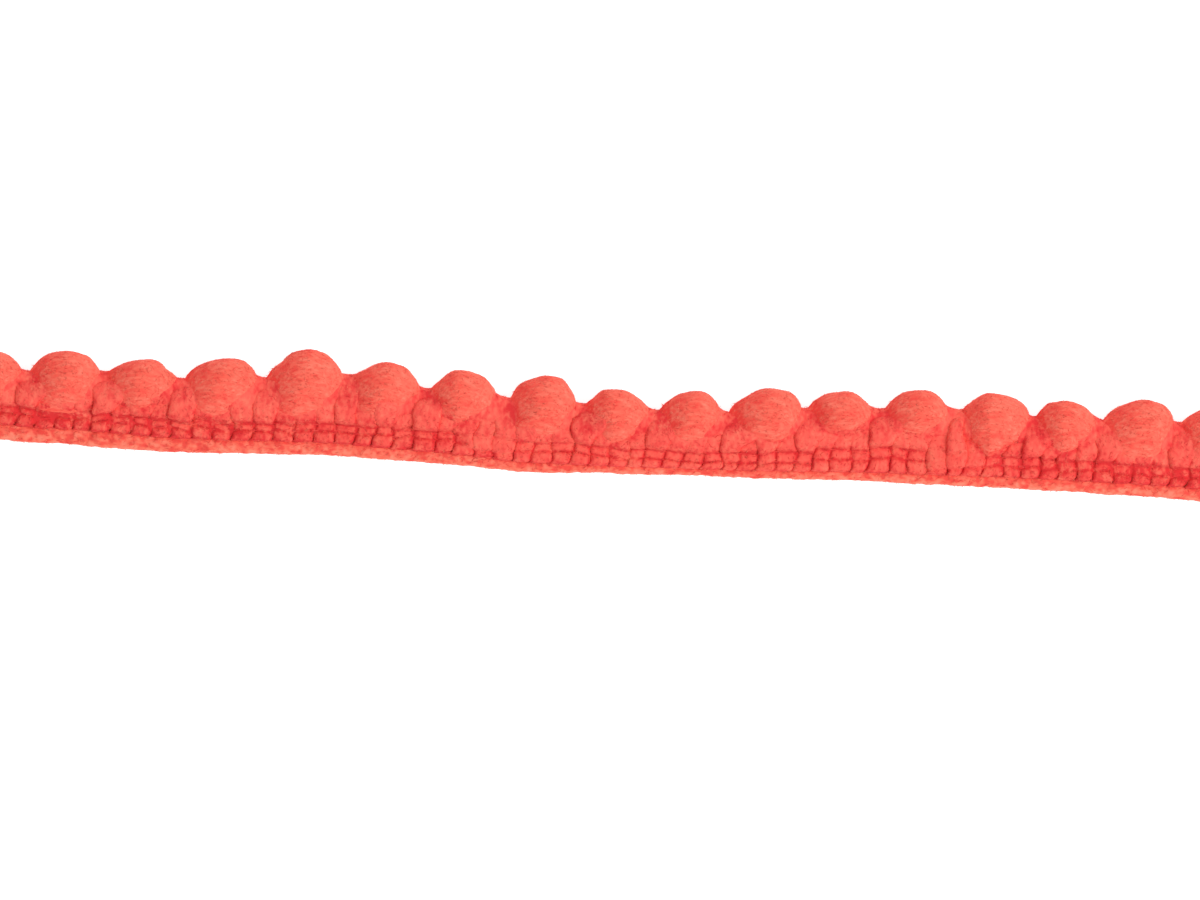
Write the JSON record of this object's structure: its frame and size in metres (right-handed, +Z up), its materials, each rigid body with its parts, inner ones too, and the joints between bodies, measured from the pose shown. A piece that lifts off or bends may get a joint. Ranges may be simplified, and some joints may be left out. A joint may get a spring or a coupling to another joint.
{
  "type": "pompom fringe trim",
  "caption": "Cut length of narrow knitted plush trim: a flat heading with cinched stitch rows and a row of small felted pompoms seated along its upper edge.",
  "frame": {"origin": "middle of the heading's flat underside, half way along the trim", "axes": "+X along the trim, +Y across it towards the pompoms, +Z up out of the trim's face"},
  "size_m": [0.1206, 0.0104, 0.0048],
  "materials": {
    "heading_plush": "matt knitted plush yarn",
    "pompom_plush": "matt brushed pile, felted"
  },
  "bodies": {
    "root": {"heading": "heading_plush", "pompom_01": "pompom_plush", "pompom_02": "pompom_plush", "pompom_03": "pompom_plush", "pompom_04": "pompom_plush", "pompom_05": "pompom_plush", "pompom_06": "pompom_plush", "pompom_07": "pompom_plush", "pompom_08": "pompom_plush", "pompom_09": "pompom_plush", "pompom_10": "pompom_plush", "pompom_11": "pompom_plush", "pompom_12": "pompom_plush", "pompom_13": "pompom_plush", "pompom_14": "pompom_plush", "pompom_15": "pompom_plush", "pompom_16": "pompom_plush", "pompom_17": "pompom_plush"}
  },
  "joints": []
}
